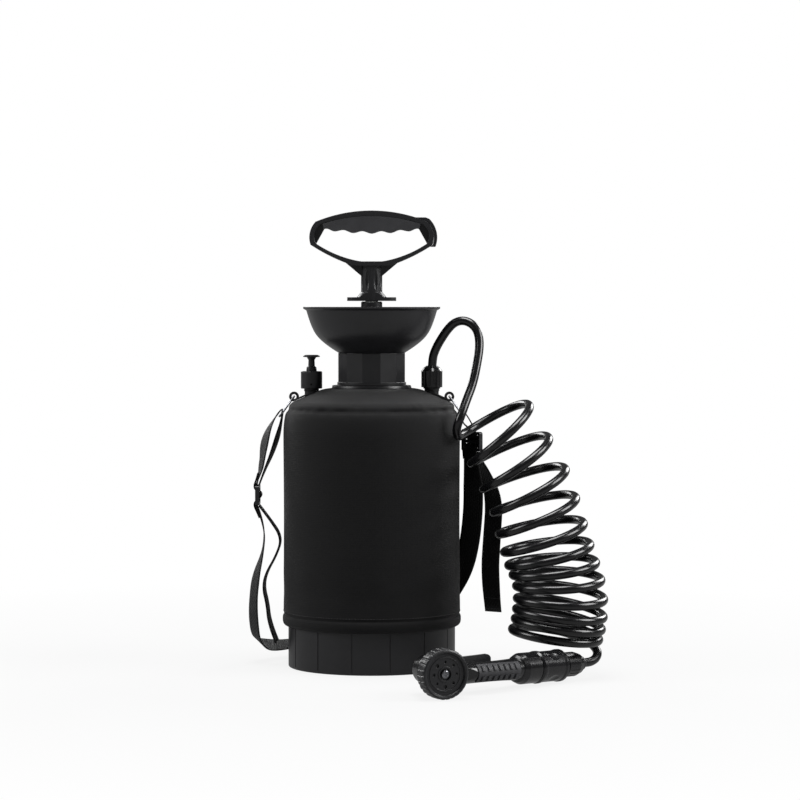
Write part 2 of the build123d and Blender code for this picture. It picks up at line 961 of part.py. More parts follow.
def cord(points, radius):
    """A round tube along straight runs joined by tangent arcs."""
    path = FilletPolyline(*points, radius=corner_radii(points))
    solid = sweep(Plane(origin=path @ 0, z_dir=path % 0) * Circle(radius), path=path)
    print("route", round(path.length, 1), "mm, tightest arc", round(min(corner_radii(points)), 1))
    print("volume over section times length", round(solid.volume / (math.pi * radius**2 * path.length), 4))
    return solid


def band(points, across, folds=()):
    """Webbing along straight runs joined by arcs, with its width starting along across."""
    radii = corner_radii(points)
    for corner in folds:
        radii[corner] = fold_r
    path = FilletPolyline(*points, radius=radii)
    section = Plane(origin=path @ 0, x_dir=across, z_dir=path % 0) * Rectangle(strap_width, strap_thick)
    return sweep(section, path=path)


def tri_glide(centre, across, up):
    """A slide buckle: a frame with a bar across its middle."""
    plane = Plane(origin=centre, x_dir=across, z_dir=Vector(*across).cross(Vector(*up)))
    slot = (glide_height - 3 * glide_bar) / 2
    frame = RectangleRounded(glide_width, glide_height, 2.4)
    for s in (-1, 1):
        frame -= Pos(0, s * (slot + glide_bar) / 2) * Rectangle(strap_width + 1.6, slot)
    return plane * extrude(frame, glide_thick / 2, both=True)


def heading(degrees, rise=0):
    """A direction on the floor, turned from +X, with a rise."""
    a = math.radians(degrees)
    return Vector(math.cos(a), math.sin(a), rise).normalized()


# The barrel's own frame: local Z runs back from the dial's face, local X towards the handle.
barrel_plane = Plane(origin=gun_dial, x_dir=heading(spray_turn), z_dir=heading(spray_turn + 90))
# The handle's own frame: local Z runs towards the hose, local X away from the fingers, local Y up.
handle_plane = Plane(
    origin=gun_cup, x_dir=heading(grip_turn + 90), z_dir=heading(grip_turn, grip_drop)
)


def handle_section(along, across, turn, wide, high):
    """One ellipse of the gun's handle: along and across its axis, turned in the floor's plane."""
    place = handle_plane * Pos(across, 0, along) * Rot(0, turn, 0)
    return place * Ellipse(wide / 2, high / 2)


def handle_skin(grow):
    """The handle's lofted body, larger all round by grow."""
    stations = [(-113, 13, 14, 33, 27), (-86, 4.5, 14, 30, 23), (-50, 0.5, 5, 28, 21.5), (-14, 0, 0, 27, 24)]
    return loft([handle_section(a, x, -t, w + 2 * grow, h + 2 * grow) for a, x, t, w, h in stations])


def lever_blade(thick, half):
    """The lever in the barrel's frame at rest: a hub on the pin and a curved blade behind the handle."""
    hub = Pos(lever_pin_x, 0, lever_pin_z) * Rot(90, 0, 0) * Cylinder(lever_hub + (thick - lever_thick) / 2, 2 * half)
    middle = [(lever_pin_x + x, lever_pin_z + z) for x, z in lever_middle]
    tip = (lever_pin_x + lever_tip[0], lever_pin_z + lever_tip[1])
    inner = Spline(*[(x, z - thick / 2) for x, z in middle], (tip[0], tip[1] - thick / 2))
    outer = Spline(*[(x, z + thick / 2) for x, z in middle], (tip[0], tip[1] + thick / 2))
    end = ThreePointArc(inner @ 1, (tip[0] + thick / 2, tip[1]), outer @ 1)
    face = make_face([inner.edge(), outer.edge(), end.edge(), Line(inner @ 0, outer @ 0).edge()])
    reach = tip[0] + thick / 2 - lever_pin_x + lever_hub
    sides = RectangleRounded(reach, 2 * half, half - 1.5)
    blade = Plane.XZ * extrude(face, half, both=True)
    blade &= Pos(lever_pin_x - lever_hub + reach / 2, 0, lever_pin_z) * extrude(sides, 60, both=True)
    return hub + blade




def pin_axis():
    place = barrel_plane * Pos(lever_pin_x, 0, lever_pin_z)
    return Axis(place.position, (0, 0, 1))


def trigger_lever():
    blade = lever_blade(lever_thick, lever_half)
    blade -= Pos(lever_pin_x, 0, lever_pin_z) * Rot(90, 0, 0) * Cylinder(lever_pin + slide_gap, 40)
    return barrel_plane * blade


def trigger_pin():
    length = 2 * (lever_half + fit_gap + ear_thick)
    return barrel_plane * Pos(lever_pin_x, 0, lever_pin_z) * Rot(90, 0, 0) * Cylinder(lever_pin, length)


def gun_body():
    barrel = revolved(
        [
            (0, 4.2),
            (spindle_r, 4.2),
            (spindle_r, barrel_front),
            (barrel_r + 3, barrel_front),
            (barrel_r + 3, barrel_front + 6),
            (barrel_r, barrel_front + 9),
            (barrel_rear_r, barrel_back - 12),
            (11.5, barrel_back - 3.5),
            (7, barrel_back - 0.6),
            (0, barrel_back),
        ]
    )
    ear_high = lever_half + fit_gap + ear_thick
    ear = Plane.XZ * extrude(
        Pos(lever_pin_x / 2 + 3, lever_pin_z) * SlotCenterToCenter(lever_pin_x - 6, 2 * lever_hub + 2), ear_high, both=True
    )
    barrel_part = barrel + ear
    cup = revolved(
        [
            (0, cup_start),
            (10, cup_start),
            (14.6, cup_start + 2.6),
            (cup_r, cup_start + 8),
            (cup_r, cup_end),
            (plug_r - 1.4, cup_end),
            (plug_r - 1.4, cup_end - 12),
            (0, cup_end - 12),
        ]
    )
    body = barrel_plane * barrel_part + handle_plane * cup + handle_skin(0)
    room = lever_blade(lever_thick + 1.4, lever_half + fit_gap)
    pin = barrel_plane * Pos(lever_pin_x, 0, lever_pin_z) * Rot(90, 0, 0) * Cylinder(lever_pin, 60)
    swept = barrel_plane * room
    sweeps = [swept.rotate(pin_axis(), -lever_travel * i / 2) for i in range(3)]
    cavity = barrel_plane * tube(valve_bore, 0, barrel_front + 3, barrel_back - 5)
    dial_room = barrel_plane * tube(60, spindle_r, -20, barrel_front)
    return body - sweeps - pin - cavity - dial_room


def grip_pad():
    """A soft pad let into the finger side, with two rows of raised bars."""
    low, high = -84, -22
    keep = handle_plane * Pos(-16, 0, (low + high) / 2) * Box(20, 19, high - low)
    pad = (handle_skin(1.2) & keep) - handle_skin(0.02)
    bars = handle_skin(2.8)
    rows = [
        handle_plane * Pos(-15, y, (low + high) / 2 + (i - (pad_ribs - 1) / 2) * pad_pitch) * Box(14, 5.5, 4.2)
        for i in range(pad_ribs)
        for y in (-5.6, 5.6)
    ]
    bars = [(bars & row) - handle_skin(0.6) for row in rows]
    return pad + bars


def spray_dial():
    body = revolved(
        [
            (spindle_r + slide_gap, dial_recess + 1.4),
            (dial_face_r, dial_recess + 1.4),
            (dial_face_r, dial_recess - 1.2),
            (dial_face_r + 0.8, 0.6),
            (dial_r - 2.2, 0),
            (dial_r - 0.6, 1.2),
            (dial_r, 3),
            (dial_r, dial_depth - 8),
            (dial_r - 3, dial_depth - 4),
            (dial_r - 5, dial_depth - fit_gap),
            (spindle_r + slide_gap, dial_depth - fit_gap),
        ]
    )
    cuts = [
        Rot(0, 0, 360 / dial_scallops * i) * Pos(dial_r + 0.7, 0, dial_depth / 2) * Cylinder(scallop_r, dial_depth + 2)
        for i in range(dial_scallops)
    ]
    return barrel_plane * (body - cuts)


def dial_face():
    thick = 1.6
    face = tube(dial_face_r - bore_gap, spindle_r + 1.5, dial_recess - 0.2, dial_recess + 1.4)
    face += tube(dial_face_r - 3.2, dial_face_r - 4.6, dial_recess - 0.8, dial_recess)
    hub = tube(spindle_r + 3.2, spindle_r + 1.5, dial_recess - 0.8, dial_recess + thick - 0.2)
    holes = [
        Rot(0, 0, 360 / spray_holes * i) * Pos(spray_ring_r, 0, dial_recess) * Cylinder(1.3 + 0.35 * (i % 3), 8)
        for i in range(spray_holes)
    ]
    return barrel_plane * (face + hub - holes)


def dial_screw():
    head = revolved([(0, 0.9), (3.2, 1.1), (4.2, 1.9), (4.2, 3.0), (2.0, 3.0), (2.0, 4.2), (0, 4.2)])
    cross = Pos(0, 0, 1.0) * (Box(5, 0.9, 1.6) + Box(0.9, 5, 1.6))
    return barrel_plane * (head - cross)


def valve_stem():
    low = barrel_front + 12
    return barrel_plane * revolved(
        [
            (0, low),
            (valve_bore - 0.4, low),
            (valve_bore - 0.4, low + 3),
            (valve_stem_r, low + 4.5),
            (valve_stem_r, barrel_back - 5.4),
            (0, barrel_back - 5.4),
        ]
    )


def gun_plug():
    body = revolved(
        [
            (3.2, cup_end - 11.9),
            (plug_r - 1.5, cup_end - 11.9),
            (plug_r - 1.5, cup_end),
            (plug_r, cup_end),
            (plug_r, cup_end + 1.5),
            (nipple_r, cup_end + 1.5),
            (nipple_r, plug_end - 7),
            (nipple_r - 1.2, plug_end - 6),
            (nipple_r - 1.2, plug_end - 3),
            (nipple_r - 0.6, plug_end),
            (3.2, plug_end),
        ]
    )
    return handle_plane * body


def connector_core():
    body = revolved(
        [
            (nipple_r + bore_gap, core_start),
            (core_r, core_start),
            (core_r, core_end),
            (core_tail_r, core_end),
            (core_tail_r, core_tail_end),
            (3.4, core_tail_end),
            (3.4, plug_end + fit_gap),
            (nipple_r + bore_gap, plug_end + fit_gap),
        ]
    )
    return handle_plane * body


def connector_sleeve():
    body = revolved(
        [
            (core_r + slide_gap, sleeve_start),
            (sleeve_r - 1.6, sleeve_start),
            (sleeve_r, sleeve_start + 2),
            (sleeve_r, sleeve_start + 5),
            (sleeve_r - 0.9, sleeve_start + 7),
            (sleeve_r - 0.9, sleeve_end - 7),
            (sleeve_r, sleeve_end - 5),
            (sleeve_r, sleeve_end - 1.6),
            (sleeve_r - 1.4, sleeve_end),
            (core_r + slide_gap, sleeve_end),
        ]
    )
    middle = (sleeve_start + sleeve_end) / 2
    dimples = [
        Rot(0, 0, 45 + 90 * i) * Pos(sleeve_r + 22.5, 0, middle) * Sphere(24.6) for i in range(4)
    ]
    return handle_plane * (body - dimples)


def connector_nut():
    body = revolved(
        [
            (core_tail_r + bore_gap, hose_nut_start),
            (hose_nut_r, hose_nut_start),
            (hose_nut_r, hose_nut_end - 8),
            (hose_nut_r - 2.2, hose_nut_end),
            (hose_r + 0.15, hose_nut_end),
            (hose_r + 0.15, core_tail_end + 0.1),
            (core_tail_r + bore_gap, core_tail_end + 0.1),
        ]
    )
    cuts = [
        Rot(0, 0, 360 / hose_nut_ribs * i) * Pos(hose_nut_r + 0.3, 0, (hose_nut_start + hose_nut_end) / 2 + 2)
        * Box(1.6, 1.8, hose_nut_end - hose_nut_start)
        for i in range(hose_nut_ribs)
    ]
    return handle_plane * (body - cuts)


def strain_relief():
    body = revolved(
        [
            (hose_r + 0.15, hose_nut_end),
            (8.2, hose_nut_end),
            (7.6, collar_end - 2),
            (6.4, collar_end),
            (hose_r + 0.15, collar_end),
        ]
    )
    return handle_plane * body


def hose_tail():
    start = handle_plane * Pos(0, 0, hose_stop)
    edge = handle_plane * Pos(0, 0, collar_end + 8)
    return cord([tuple(start.position), tuple(edge.position), *tail_points[1:]], hose_r)


def export_all():
    for name, shape in parts.items():
        export_step(shape, f"parts/{name}.step")
    print(len(parts), "nodes")


parts["tank_shell"] = tank_shell()
parts["base_foot"] = base_foot()
parts["neoprene_cover"] = neoprene_cover()
parts["neck_ring"] = neck_ring()
parts["funnel_gasket"] = funnel_gasket()
parts["funnel"] = funnel()
parts["pump_head"] = pump_head()
parts["pump_o_ring"] = pump_o_ring()
parts["pump_cylinder"] = pump_cylinder()
parts["cylinder_foot"] = cylinder_foot()
parts["check_valve_disc"] = check_valve_disc()
parts["rod_guide"] = rod_guide()
parts["piston"] = piston()
parts["cup_seal"] = cup_seal()
parts["piston_rod"] = piston_rod()
parts["handle_frame"] = handle_frame()
parts["finger_grip"] = finger_grip()
parts["handle_clip"] = handle_clip()
left = Pos(-fitting_x, 0, 0)
right = Pos(fitting_x, 0, 0)
parts["relief_washer"] = left * washer()
parts["relief_body"] = left * relief_body()
parts["relief_knob"] = left * relief_knob()
parts["relief_seal"] = left * relief_seal()
parts["relief_spring"] = left * relief_spring()
parts["outlet_washer"] = right * washer()
parts["outlet_fitting"] = right * outlet_fitting()
parts["outlet_nut"] = right * outlet_nut()
parts["dip_tube"] = dip_tube()
parts["suction_filter"] = suction_filter()
for side, word in ((-1, "left"), (1, "right")):
    parts[f"strap_lug_{word}"] = strap_lug(side)
    parts[f"hook_link_{word}"] = hook_link(side)
    parts[f"hook_gate_{word}"] = hook_gate(side)
parts["gun_body"] = gun_body()
parts["grip_pad"] = grip_pad()
parts["trigger_lever"] = trigger_lever()
parts["trigger_pin"] = trigger_pin()
parts["valve_stem"] = valve_stem()
parts["spray_dial"] = spray_dial()
parts["dial_face"] = dial_face()
parts["dial_screw"] = dial_screw()
parts["gun_plug"] = gun_plug()
parts["connector_core"] = connector_core()
parts["connector_sleeve"] = connector_sleeve()
parts["connector_nut"] = connector_nut()
parts["strain_relief"] = strain_relief()
parts["hose_bow"] = cord(bow_points, hose_r)
parts["hose_coil"] = cord(coil_points, coil_r)
parts["hose_tail"] = hose_tail()
parts["tri_glide_left"] = tri_glide(glide_left, (0, 1, 0), (0, 0, 1))
parts["tri_glide_right"] = tri_glide(glide_right, (-0.6, 0.8, 0), (0, 0, 1))
parts["strap_loop_left"] = band(loop_left_points, (0, 1, 0), folds=(3,))
parts["strap_loop_right"] = band(loop_right_points, (0, 1, 0), folds=(1,))
parts["strap_main"] = band(main_points, (0, 1, 0))
parts["strap_tail_left"] = band(tail_left_points, (0, 1, 0))
parts["strap_tail_right"] = band(tail_right_points, (-0.6, 0.8, 0))
export_all()
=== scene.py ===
import json
import math

import bmesh
import bpy
from mathutils import Matrix, Vector, noise


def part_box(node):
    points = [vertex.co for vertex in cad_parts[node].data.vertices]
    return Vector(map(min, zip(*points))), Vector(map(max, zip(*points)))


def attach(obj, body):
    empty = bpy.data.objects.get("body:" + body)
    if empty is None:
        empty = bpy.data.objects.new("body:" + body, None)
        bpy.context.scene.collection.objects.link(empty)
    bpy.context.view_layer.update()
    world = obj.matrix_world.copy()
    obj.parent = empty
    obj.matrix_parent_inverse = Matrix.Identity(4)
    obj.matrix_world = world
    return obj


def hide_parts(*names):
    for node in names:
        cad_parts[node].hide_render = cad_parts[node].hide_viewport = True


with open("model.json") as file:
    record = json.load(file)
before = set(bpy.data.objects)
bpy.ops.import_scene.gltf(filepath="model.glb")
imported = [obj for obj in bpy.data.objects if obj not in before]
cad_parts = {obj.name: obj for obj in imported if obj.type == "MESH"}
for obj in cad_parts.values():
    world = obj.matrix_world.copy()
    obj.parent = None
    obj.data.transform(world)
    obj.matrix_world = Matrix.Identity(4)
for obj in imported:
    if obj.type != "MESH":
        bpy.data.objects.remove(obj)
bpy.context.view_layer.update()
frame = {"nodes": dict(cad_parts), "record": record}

bl_info = {
    "name": "Pressure Shower",
    "version": (1, 0, 0),
    "blender": (4, 5, 0),
    "location": "View3D > Sidebar > Shower",
    "description": "Dresses the packed pump-up shower with its hose, cover, webbing and finishes",
    "category": "Object",
}

# Everything is in metres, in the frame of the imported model: +Z up, the front towards -Y.

# The hose's route from the outlet nut over the shoulder to the first turn of the coil.
BOW = (
    (0.068, 0, 0.322),
    (0.068, 0, 0.346),
    (0.0722, -0.0015, 0.3590),
    (0.0792, -0.0035, 0.3712),
    (0.0860, -0.0055, 0.3812),
    (0.0932, -0.0075, 0.3885),
    (0.1022, -0.0100, 0.3912),
    (0.1112, -0.0135, 0.3885),
    (0.1178, -0.0165, 0.3818),
    (0.1208, -0.0195, 0.3730),
    (0.1213, -0.0245, 0.3600),
    (0.1176, -0.0334, 0.3391),
    (0.1132, -0.0411, 0.3197),
    (0.1055, -0.0522, 0.3011),
    (0.0994, -0.0619, 0.2845),
    (0.0954, -0.0616, 0.2744),
    (0.0947, -0.0561, 0.2660),
    (0.0970, -0.0477, 0.2616),
)
# The line that the coil's turns are wound round.
COIL_AXIS = (
    (0.1316, -0.0520, 0.2884),
    (0.1407, -0.0540, 0.2714),
    (0.1588, -0.0580, 0.2374),
    (0.1767, -0.0627, 0.2031),
    (0.1868, -0.0713, 0.1662),
    (0.1972, -0.0826, 0.1300),
    (0.2095, -0.0985, 0.0973),
    (0.2065, -0.1040, 0.0572),
    (0.2020, -0.0970, 0.0437),
)
# Each row is a turn: its share of the axis, its radius, and the lean of its right side upwards.
TURNS = (
    (0.000, 0.0419, 38),
    (0.139, 0.0441, 32),
    (0.276, 0.0455, 25),
    (0.397, 0.0459, 20),
    (0.503, 0.0464, 16),
    (0.594, 0.0467, 12),
    (0.665, 0.0471, 8),
    (0.725, 0.0471, 3),
    (0.790, 0.0475, -2),
    (0.857, 0.0480, -7),
    (0.910, 0.0480, -10),
    (0.951, 0.0476, -10),
    (1.000, 0.0473, -10),
)
# From the end of the last turn, through the connector's collar, to its core.
HOSE_END = (
    (0.2400, -0.0670, 0.0362),
    (0.2470, -0.0770, 0.0310),
    (0.2504, -0.0865, 0.0252),
    (0.2482, -0.0950, 0.0204),
    (0.2433, -0.1019, 0.0175),
    (0.23694, -0.10837, 0.01657),
    (0.22003, -0.12539, 0.01729),
)
LOOP_LEFT = (
    (-0.1303, 0, 0.20495),
    (-0.1245, 0, 0.226),
    (-0.1223, 0, 0.250),
    (-0.1155, 0, 0.2715),
    (-0.0995, 0, 0.2955),
    (-0.1023, 0, 0.276),
    (-0.1072, 0, 0.257),
    (-0.1138, 0, 0.238),
    (-0.121, 0, 0.222),
    (-0.1274, 0, 0.20495),
)
LOOP_RIGHT = (
    (0.1158, 0, 0.2655),
    (0.1156, 0, 0.2715),
    (0.0995, 0, 0.2955),
    (0.1023, 0, 0.276),
    (0.108, 0, 0.2705),
    (0.1123, 0, 0.268),
    (0.1124, 0, 0.2655),
)
STRAP = (
    (-0.1303, 0, 0.1817),
    (-0.1215, 0, 0.160),
    (-0.122, 0, 0.132),
    (-0.1325, 0, 0.098),
    (-0.135, 0.001, 0.060),
    (-0.132, 0.022, 0.022),
    (-0.113, 0.058, 0.016),
    (-0.082, 0.090, 0.015),
    (-0.040, 0.111, 0.016),
    (0.005, 0.115, 0.020),
    (0.045, 0.107, 0.032),
    (0.078, 0.086, 0.056),
    (0.099, 0.060, 0.088),
    (0.110, 0.038, 0.125),
    (0.115, 0.023, 0.165),
    (0.1155, 0.008, 0.204),
    (0.1126, 0.004, 0.226),
    (0.1126, 0.004, 0.2425),
)
TAIL_LEFT = (
    (-0.1272, 0, 0.1817),
    (-0.115, 0, 0.166),
    (-0.1014, 0, 0.145),
    (-0.108, 0, 0.125),
    (-0.120, 0, 0.104),
    (-0.1225, 0, 0.088),
    (-0.118, 0, 0.070),
    (-0.116, 0, 0.048),
    (-0.1075, 0, 0.027),
)
TAIL_RIGHT = (
    (0.1149, 0.0051, 0.2425),
    (0.1149, 0.0051, 0.237),
    (0.127, 0.015, 0.220),
    (0.140, 0.026, 0.188),
    (0.137, 0.030, 0.142),
    (0.1345, 0.033, 0.098),
    (0.139, 0.036, 0.057),
)

# Webbing laid over a slide buckle's middle bar: distance from the buckle's plane, and height.
TURN_LEFT = (
    (0.0006, 0.025),
    (-0.0016, 0.017),
    (-0.0035, 0.0125),
    (-0.0035, 0.0080),
    (0.0, 0.00465),
    (0.0040, 0.0022),
    (0.0040, -0.0022),
    (0.0, -0.00465),
    (-0.0035, -0.0080),
    (-0.0035, -0.0125),
    (-0.0011, -0.0175),
    (0.0023, -0.0255),
)
TURN_RIGHT = (
    (-0.0046, 0.0135),
    (-0.0037, 0.0080),
    (0.0, 0.00465),
    (0.0040, 0.0022),
    (0.0040, -0.0022),
    (0.0, -0.00465),
    (-0.0037, -0.0080),
    (-0.0037, -0.0125),
    (-0.0028, -0.0200),
)


# Sewing: the thread, the hem's row and pitch, the back seam, and the rows across a strap's tail.
THREAD = 0.0007
HEM_ROW = 0.0630
HEM_PITCH = 0.0034
SEAM_TOP = 0.284
SEAM_PITCH = 0.0036
TAIL_ROWS = (0.004, 0.016)


def linear(colour):
    """An sRGB hex colour as linear values."""
    parts = [int(colour[i : i + 2], 16) / 255 for i in (1, 3, 5)]
    return tuple(c / 12.92 if c <= 0.04045 else ((c + 0.055) / 1.055) ** 2.4 for c in parts)


def add_node(tree, kind, inputs=(), **settings):
    """Adds a node, sets its own settings, and gives its inputs values or links."""
    node = tree.nodes.new(kind)
    for name, value in settings.items():
        setattr(node, name, value)
    for key, value in dict(inputs).items():
        if isinstance(value, bpy.types.NodeSocket):
            tree.links.new(value, node.inputs[key])
        else:
            node.inputs[key].default_value = value
    return node


def new_material(name, colour, roughness, ior=1.5, **sockets):
    """A material with its Principled shader, and the shader's node."""
    material = bpy.data.materials.new(name)
    material.use_nodes = True
    tree = material.node_tree
    tree.nodes.clear()
    shader = add_node(tree, "ShaderNodeBsdfPrincipled", {"Roughness": roughness, "IOR": ior})
    shader.inputs["Base Color"].default_value = (*colour, 1)
    for socket, value in sockets.items():
        shader.inputs[socket.replace("_", " ")].default_value = value
    add_node(tree, "ShaderNodeOutputMaterial", {"Surface": shader.outputs[0]})
    return material, tree, shader


def tint(tree, shader, factor, dark, light):
    """Colours the shader between two colours by a factor."""
    mix = add_node(tree, "ShaderNodeMix", {"Factor": factor}, data_type="RGBA")
    mix.inputs[6].default_value = (*dark, 1)
    mix.inputs[7].default_value = (*light, 1)
    tree.links.new(mix.outputs[2], shader.inputs["Base Color"])
    return mix


def map_range(tree, value, low, high):
    """A factor from 0 to 1 brought into a range."""
    return add_node(tree, "ShaderNodeMapRange", {"Value": value, "To Min": low, "To Max": high}).outputs[0]


def bump(tree, shader, height, distance, strength=1.0, below=None):
    """Gives the shader a bump of a real depth in metres."""
    inputs = {"Height": height, "Distance": distance, "Strength": strength}
    if below is not None:
        inputs["Normal"] = below
    node = add_node(tree, "ShaderNodeBump", inputs)
    tree.links.new(node.outputs[0], shader.inputs["Normal"])
    return node.outputs[0]


def moulded(name, dark, light, roughness, grain, grain_depth, coat=0.0, rounded=True):
    """Injection-moulded plastic: an even tone, a fine spark-eroded grain, faint flow marks and rubbed patches."""
    material, tree, shader = new_material(name, light, roughness, 1.49, Coat_Weight=coat, Coat_Roughness=0.12)
    place = add_node(tree, "ShaderNodeTexCoord").outputs["Object"]
    flow = add_node(tree, "ShaderNodeTexNoise", {"Vector": place, "Scale": 28, "Detail": 4, "Roughness": 0.6})
    rub = add_node(tree, "ShaderNodeTexNoise", {"Vector": place, "Scale": 140, "Detail": 5, "Roughness": 0.7})
    tint(tree, shader, flow.outputs[0], dark, light)
    worn = add_node(
        tree, "ShaderNodeMath", {0: flow.outputs[0], 1: rub.outputs[0]}, operation="MULTIPLY"
    ).outputs[0]
    tree.links.new(map_range(tree, worn, roughness - 0.07, roughness + 0.13), shader.inputs["Roughness"])
    fine = add_node(tree, "ShaderNodeTexNoise", {"Vector": place, "Scale": 1000 / grain, "Detail": 2})
    first = add_node(
        tree, "ShaderNodeBump", {"Height": fine.outputs[0], "Distance": grain_depth, "Strength": 0.6}
    )
    if rounded:
        edge = add_node(tree, "ShaderNodeBevel", {"Radius": 0.0005}, samples=6)
        tree.links.new(edge.outputs[0], first.inputs["Normal"])
    bump(tree, shader, flow.outputs[0], 0.00010, 0.3, first.outputs[0])
    return material


def make_materials(colours):
    """Every finish of the object, by name."""
    made = {}
    # Polypropylene, injection moulded: a dull satin black with a fine grain.
    made["polypropylene"] = moulded(
        "polypropylene_moulded", linear("#1a1a1b"), colours.plastic, 0.36, 0.5, 0.00002
    )
    # Polypropylene of the foot, which stands on the ground: a little duller, with scuffs.
    made["foot"] = moulded("polypropylene_foot", linear("#1a1a1b"), linear("#232326"), 0.44, 0.6, 0.00003)
    # ABS, moulded in a polished tool: a deep black with clean highlights.
    made["abs"] = moulded("abs_polished", linear("#0d0d0e"), colours.gloss, 0.24, 0.9, 0.000004, 0.2, False)
    # Acetal for sliding parts: natural white, waxy.
    made["acetal"] = moulded("acetal_natural", linear("#b9bab4"), linear("#cfd0ca"), 0.38, 0.7, 0.00001)
    # Polyethylene, blow moulded: black, slightly uneven, with a soft orange peel.
    made["polyethylene"] = moulded("polyethylene_blown", linear("#131314"), linear("#1c1c1e"), 0.5, 2.2, 0.00008)

    # Nitrile rubber: dead black with a dusty bloom.
    made["rubber"] = moulded("nitrile_rubber", linear("#111111"), linear("#1b1b1b"), 0.68, 0.4, 0.00002)

    # Thermoplastic rubber on the grips: matt, with a fine stipple.
    material, tree, shader = new_material("thermoplastic_rubber", linear("#19191a"), 0.58, 1.48)
    place = add_node(tree, "ShaderNodeTexCoord").outputs["Object"]
    stipple = add_node(tree, "ShaderNodeTexVoronoi", {"Vector": place, "Scale": 1250, "Randomness": 1.0})
    smudge = add_node(tree, "ShaderNodeTexNoise", {"Vector": place, "Scale": 60, "Detail": 4})
    tint(tree, shader, smudge.outputs[0], linear("#29292b"), linear("#39393c"))
    tree.links.new(map_range(tree, smudge.outputs[0], 0.48, 0.66), shader.inputs["Roughness"])
    bump(tree, shader, stipple.outputs[0], 0.00004, 0.6)
    made["grip"] = material

    # PVC hose, extruded and wound hot: wet-looking black with faint draw lines along it.
    material, tree, shader = new_material("pvc_hose", colours.hose, 0.13, 1.52)
    place = add_node(tree, "ShaderNodeTexCoord").outputs["Object"]
    cloud = add_node(tree, "ShaderNodeTexNoise", {"Vector": place, "Scale": 60, "Detail": 4, "Roughness": 0.6})
    tint(tree, shader, cloud.outputs[0], linear("#070708"), colours.hose)
    tree.links.new(map_range(tree, cloud.outputs[0], 0.15, 0.30), shader.inputs["Roughness"])
    wave = add_node(tree, "ShaderNodeTexNoise", {"Vector": place, "Scale": 130, "Detail": 1})
    bump(tree, shader, wave.outputs[0], 0.00004, 0.2)
    made["hose"] = material

    # Zinc-plated steel wire: bright, faintly drawn, with a trace of dulling.
    material, tree, shader = new_material("zinc_plated_steel", linear("#8d8e92"), 0.26, 1.5, Metallic=1.0)
    place = add_node(tree, "ShaderNodeTexCoord").outputs["Object"]
    dull = add_node(tree, "ShaderNodeTexNoise", {"Vector": place, "Scale": 380, "Detail": 5})
    tint(tree, shader, dull.outputs[0], linear("#68696d"), linear("#a5a6aa"))
    tree.links.new(map_range(tree, dull.outputs[0], 0.16, 0.38), shader.inputs["Roughness"])
    bump(tree, shader, dull.outputs[0], 0.00002, 0.4)
    made["steel"] = material

    # Clear polyethylene pipe: milky and waxy.
    made["pipe"] = moulded("polyethylene_natural", linear("#9ea2a0"), linear("#b9bcb9"), 0.34, 1.0, 0.00001)

    # Neoprene foam faced with a fine jersey knit: matt black, with a soft sheen at the edges.
    # Knit ribs are 0.45 mm apart on the real cloth and drawn at 0.8 mm so that they show.
    material, tree, shader = new_material(
        "neoprene_jersey", colours.cover, 0.88, 1.36, Sheen_Weight=0.05, Sheen_Roughness=0.5
    )
    texture = add_node(tree, "ShaderNodeTexCoord")
    place = texture.outputs["Object"]
    flat = texture.outputs["UV"]
    ribs = add_node(
        tree, "ShaderNodeTexWave", {"Vector": flat, "Scale": 1250 / 6.2832, "Distortion": 0.6, "Detail": 1},
        wave_type="BANDS", bands_direction="X",
    )
    courses = add_node(
        tree, "ShaderNodeTexWave", {"Vector": flat, "Scale": 1000 / 6.2832, "Distortion": 0.4, "Detail": 1},
        wave_type="BANDS", bands_direction="Y",
    )
    knit = add_node(tree, "ShaderNodeMath", {0: ribs.outputs["Fac"], 1: courses.outputs["Fac"]}, operation="MULTIPLY")
    lint = add_node(tree, "ShaderNodeTexNoise", {"Vector": place, "Scale": 700, "Detail": 3, "Roughness": 0.7})
    shade = add_node(tree, "ShaderNodeTexNoise", {"Vector": place, "Scale": 14, "Detail": 5, "Roughness": 0.55})
    both = add_node(tree, "ShaderNodeMath", {0: shade.outputs[0], 1: lint.outputs[0]}, operation="MULTIPLY")
    tint(tree, shader, map_range(tree, both.outputs[0], 0, 1.8), linear("#09090a"), linear("#111112"))
    soft = add_node(tree, "ShaderNodeBump", {"Height": shade.outputs[0], "Distance": 0.0012, "Strength": 0.35})
    bump(tree, shader, knit.outputs[0], 0.00018, 0.7, soft.outputs[0])
    made["neoprene"] = material

